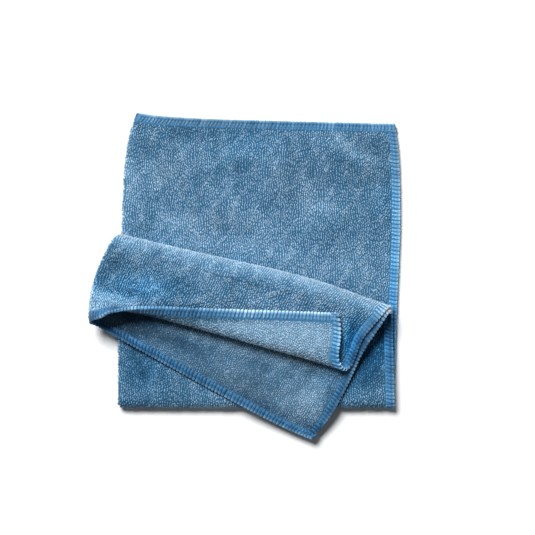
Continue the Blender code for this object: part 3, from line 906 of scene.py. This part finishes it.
def make_stitch():
    """One overlock stitch, in millimetres: u along the edge, v out over it, w up from the middle.

    Its thread is widest by the edge, where it touches its neighbours, and leaves gaps further in.
    """
    level = HEM_THICK / 2 + HEM_LIFT
    inset = NEEDLE_INSET
    front = (   # u, v, w, width, height, and painted light and shade of the colour: low for painted shade towards the needle, high for painted light on the beads at the edge
        (0.0, -inset, level - 0.5, 0.35, 0.2, 0.1),
        (0.05, -inset + 0.6, level + 0.1, 0.75, 0.35, 0.8),
        (0.2, -inset + 1.3, level, 0.7, 0.3, 0.3),
        (0.45, -2.8, level, 0.8, 0.26, 0.6),
        (0.7, -1.3, level, 1.45, 0.22, 0.25),
        (0.75, -0.1, level, 1.4, 0.3, 0.7),
        (0.75, 0.55, level * 0.4, 1.1, 0.45, 1.2),
        (0.75, 0.65, -0.3, 0.9, 0.4, 1.1))
    back = (
        (0.75, 0.6, 0.0, 0.9, 0.4, 1.1),
        (0.8, 0.45, -level * 0.6, 1.1, 0.45, 1.25),
        (1.0, -0.7, -level, 1.35, 0.28, 0.7),
        (1.3, -2.2, -level, 0.95, 0.24, 0.25),
        (1.6, -3.6, -level, 0.8, 0.26, 0.55),
        (1.85, -inset + 0.5, -level, 0.75, 0.3, 0.3),
        (1.9, -inset, -level + 0.5, 0.35, 0.2, 0.1))
    points, faces, painted_lighting_values = [], [], []
    for rows in (np.array(front), np.array(back)):
        more, more_faces = thread(rows[:, :3], rows[:, 3], rows[:, 4])
        faces += [tuple(k + len(points) for k in face) for face in more_faces]
        points += more
        painted_lighting_values += np.repeat(rows[:, 5], THREAD_SIDES).tolist()
    mesh = bpy.data.meshes.new("stitch")
    mesh.from_pydata(points, [], faces)
    mesh.shade_smooth()
    keep(mesh, {"painted_lighting": painted_lighting_values})
    return new_object("stitch", mesh)


def edge_places():
    """Places of the stitches right round the flat cloth, and the way out over the edge there."""
    places = []
    for x, y, way_x, way_y in ((-HALF, 0, 1, 0), (HALF, 0, 0, 1),
                               (HALF, LENGTH, -1, 0), (-HALF, LENGTH, 0, -1)):
        length = WIDTH if way_x else LENGTH
        count = round(length / STITCH)
        for step in (np.arange(count) + 0.5) * length / count:
            places.append((x + way_x * step, y + way_y * step, way_y, -way_x))
    return np.array(places, float)


def sew_edge(name, move, tree, material):
    """Overlock stitches round the whole edge."""
    across, along, out_across, out_along = edge_places().T
    middle, _, front = cloth_frame(across, along)
    inward = fold_cloth(across - out_across * OUTWARD_FROM, along - out_along * OUTWARD_FROM)
    return grow(name, tree, middle + move, {
        "facing": front, "wale": unit(middle - leaned(*inward)), "flat": on_flat(across, along),
        # painted light, shade and shadow of the ovals fall on the thread too
        "shade": nap_and_painted_shade(middle + move, across, along),
        "blue": np.minimum(bluer(middle + move, along), THREAD_BLUE_LIMIT),
        "tone": np.random.default_rng(STITCH_TONE_SEED).normal(0, 1, len(across)),
    }, {
        "Shape": make_stitch(), "Long": MM, "Wide": MM, "Tall": MM, "Uneven": STITCH_UNEVEN,
        "Sway": radians(STITCH_SWAY), "Lean": radians(STITCH_LEAN), "Seed": STITCH_SEED,
        "Finish": material,
    })


# ---------------------------------------------------------------- materials
def new_material(name, roughness, sheen, sheen_tint=CLOTH_SHEEN):
    material = bpy.data.materials.new(name)
    material.use_nodes = True
    shader = material.node_tree.nodes["Principled BSDF"]
    shader.inputs["Roughness"].default_value = roughness
    shader.inputs["Specular IOR Level"].default_value = SPECULAR
    shader.inputs["Sheen Weight"].default_value = sheen
    shader.inputs["Sheen Roughness"].default_value = SHEEN_ROUGHNESS
    shader.inputs["Sheen Tint"].default_value = (*sheen_tint, 1)
    return material, material.node_tree, shader


def read(tree, label, output="Fac"):
    """What the mesh keeps under a name."""
    node = tree.nodes.new("ShaderNodeAttribute")
    node.attribute_name = label
    return node.outputs[output]


def summed(tree, value, *parts):
    """A number with the shares of other numbers added to it."""
    for part, share in parts:
        value = maths(tree, "ADD", value, maths(tree, "MULTIPLY", part, share))
    return value


def noise(tree, where, scale):
    node = tree.nodes.new("ShaderNodeTexNoise")
    node.inputs["Scale"].default_value = scale
    node.inputs["Detail"].default_value = NOISE_DETAIL
    tree.links.new(where, node.inputs["Vector"])
    return node.outputs["Fac"]


def stretched_noise(tree, scale):
    """Noise on the flat cloth, of another scale across it than along it."""
    node = tree.nodes.new("ShaderNodeMapping")
    node.inputs["Scale"].default_value = scale
    tree.links.new(read(tree, "flat", "Vector"), node.inputs["Vector"])
    return noise(tree, node.outputs[0], 1.0)


def ramp(tree, value, stops):
    node = tree.nodes.new("ShaderNodeValToRGB")
    elements = node.color_ramp.elements
    while len(elements) < len(stops):
        elements.new(0.5)
    for element, (at, colour) in zip(elements, stops):
        element.position = at
        element.color = (*colour, 1)
    tree.links.new(value, node.inputs[0])
    return node.outputs[0]


def bump(tree, shader, height, distance, strength):
    node = tree.nodes.new("ShaderNodeBump")
    node.inputs["Distance"].default_value = distance
    node.inputs["Strength"].default_value = strength
    tree.links.new(height, node.inputs["Height"])
    tree.links.new(node.outputs[0], shader.inputs["Normal"])


def blued(tree, colour):
    """A colour with its blue made stronger where the patches say so, mostly painted light that
    cloth throws on cloth.
    """
    gain = add(tree, "ShaderNodeVectorMath", operation="MULTIPLY_ADD")
    tree.links.new(read(tree, "blue"), gain.inputs[0])
    gain.inputs[1].default_value = BLUE_GAIN
    gain.inputs[2].default_value = (1, 1, 1)
    tinted = add(tree, "ShaderNodeVectorMath", operation="MULTIPLY")
    tree.links.new(colour, tinted.inputs[0])
    tree.links.new(gain.outputs[0], tinted.inputs[1])
    return tinted.outputs[0]


def pile_finish(name, colours):
    """Short pile: painted shade at the foot and painted light at the tips, and paler or deeper as
    it is brushed and as painted light, shade and shadow fall.
    """
    material, tree, shader = new_material(name, roughness=0.85, sheen=0.35)
    shade = read(tree, "shade")
    painted_lighting = summed(tree, PILE_PAINTED_LIGHTING, (shade, PILE_PAINTED_LIGHTING_BY_SHADE))
    value = summed(tree, PILE_LEVEL, (read(tree, "painted_lighting"), painted_lighting), (read(tree, "tone"), PILE_TONE),
                   (shade, PILE_SHADE), (stretched_noise(tree, STREAK_SCALE), PILE_STREAKS))
    tree.links.new(blued(tree, ramp(tree, value, colours)), shader.inputs["Base Color"])
    where = tree.nodes.new("ShaderNodeTexCoord").outputs["Object"]
    bump(tree, shader, noise(tree, where, PILE_FUZZ_SCALE), *FUZZ_BUMP)
    return material


def ground_finish(name, colours, low, high):
    """Knitted ground under the pile, seen between the tufts, and thread blue in the hem; both kept
    at the deep end of their ramps as painted shade between the tufts and the stitches.
    """
    material, tree, shader = new_material(name, roughness=0.9, sheen=0.3)
    knit = stretched_noise(tree, KNIT_SCALE)
    value = summed(tree, low, (knit, high - low), (read(tree, "shade"), GROUND_SHADE))
    in_hem = maths(tree, "LESS_THAN", read(tree, "inset"), HEM_COLOUR_ENDS * MM)
    mix = add(tree, "ShaderNodeMix", data_type="RGBA")
    tree.links.new(in_hem, enabled(mix.inputs, "Factor"))
    tree.links.new(ramp(tree, value, colours), enabled(mix.inputs, "A"))
    thread_blue = ramp(tree, maths(tree, "MULTIPLY", knit, HEM_KNIT), THREAD_COLOURS)
    tree.links.new(thread_blue, enabled(mix.inputs, "B"))
    colour = blued(tree, enabled(mix.outputs, "Result"))
    tree.links.new(colour, shader.inputs["Base Color"])
    bump(tree, shader, knit, *KNIT_BUMP)
    return material


def thread_finish(name):
    """Bulked thread: fine twisted filaments, with painted light on the beads at the edge, painted
    shade further in, and the painted shade and light of the ovals.
    """
    material, tree, shader = new_material(name, 0.7, 0.25, THREAD_SHEEN)
    where = tree.nodes.new("ShaderNodeTexCoord").outputs["Object"]
    value = summed(tree, 0.0, (noise(tree, where, FIBRE_SCALE), THREAD_FIBRES),
                   (read(tree, "tone"), THREAD_TONE), (read(tree, "painted_lighting"), THREAD_PAINTED_LIGHTING),
                   (read(tree, "shade"), THREAD_SHADE))
    tree.links.new(blued(tree, ramp(tree, value, THREAD_COLOURS)), shader.inputs["Base Color"])
    bump(tree, shader, noise(tree, where, THREAD_FUZZ_SCALE), *FUZZ_BUMP)
    return material


# ---------------------------------------------------------------- studio
def make_floor():
    mesh = bpy.data.meshes.new("floor")
    mesh.from_pydata([(x * FLOOR_REACH, y * FLOOR_REACH, FLOOR_LEVEL)
                      for x, y in ((-1, -1), (1, -1), (1, 1), (-1, 1))], [], [(0, 1, 2, 3)])
    floor = new_object("floor", mesh)
    material, _, shader = new_material("white_floor", roughness=0.9, sheen=0.0)
    shader.inputs["Base Color"].default_value = (FLOOR_COLOUR, FLOOR_COLOUR, FLOOR_COLOUR, 1)
    shader.inputs["Specular IOR Level"].default_value = 0.0
    mesh.materials.append(material)


def make_light():
    """A round soft light aimed at the cloth."""
    data = bpy.data.lights.new("key", "AREA")
    data.shape = "DISK"
    data.size = LIGHT_SIZE
    data.energy = LIGHT_POWER
    light = bpy.data.objects.new("key", data)
    turn, rise = radians(LIGHT_AZIMUTH), radians(LIGHT_ELEVATION)
    way = Vector((sin(turn) * cos(rise), cos(turn) * cos(rise), sin(rise)))
    light.location = LIGHT_DISTANCE * way
    light.rotation_euler = (-light.location).to_track_quat("-Z", "Y").to_euler()
    bpy.context.scene.collection.objects.link(light)


def make_camera():
    data = bpy.data.cameras.new("camera")
    data.sensor_width = SENSOR
    data.lens = SENSOR * CAMERA_HEIGHT / PHOTO_FIELD
    data.clip_start, data.clip_end = CLIP
    camera = bpy.data.objects.new("camera", data)
    camera.location = (*PHOTO_CENTRE, CAMERA_HEIGHT)
    bpy.context.scene.collection.objects.link(camera)
    bpy.context.scene.camera = camera


def make_world():
    world = bpy.data.worlds.new("studio")
    world.use_nodes = True
    background = world.node_tree.nodes["Background"]
    background.inputs["Color"].default_value = (1, 1, 1, 1)
    background.inputs["Strength"].default_value = WORLD_STRENGTH
    bpy.context.scene.world = world


# ---------------------------------------------------------------- the scene
make_camera()
make_floor()
make_world()
make_light()
bpy.context.scene.view_settings.view_transform = "Standard"

front_pile = pile_finish("plush_front", FRONT_COLOURS)
back_pile = pile_finish("looped_back", BACK_COLOURS)
# The grounds stay low on the ramps: painted shade between the tufts and the stitches
front_ground = ground_finish("front_ground", FRONT_COLOURS, low=0.03, high=0.38)
back_ground = ground_finish("back_ground", BACK_COLOURS, low=0.08, high=0.45)
edge_thread = thread_finish("edge_thread")

sheet, move = make_sheet()
sheet.data.materials.append(front_ground)
sheet.data.materials.append(back_ground)
back_side = np.zeros(len(sheet.data.polygons), np.int32)
grid_count = (len(back_side) - len(rim_faces(len(columns()), sum(ROW_COUNTS) + 1))) // 2
back_side[grid_count:2 * grid_count] = 1
sheet.data.polygons.foreach_set("material_index", back_side)

tree = scatter_tree()
base, flap, whole = (0, BASE_ENDS), (BASE_ENDS, LENGTH), (0, LENGTH)
pieces = [
    grow_pile("base_plush", sheet, move, FRONT_PILE, 1, base, tree, front_pile),
    grow_pile("flap_plush", sheet, move, FRONT_PILE, 1, flap, tree, front_pile),
    grow_pile("back_loops", sheet, move, BACK_PILE, -1, whole, tree, back_pile),
    sew_edge("overlock_stitches", move, tree, edge_thread),
]
for piece in [sheet] + pieces:
    print(piece.name, "has", len(piece.data.polygons), "faces")
    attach(piece, "root")
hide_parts("cloth")
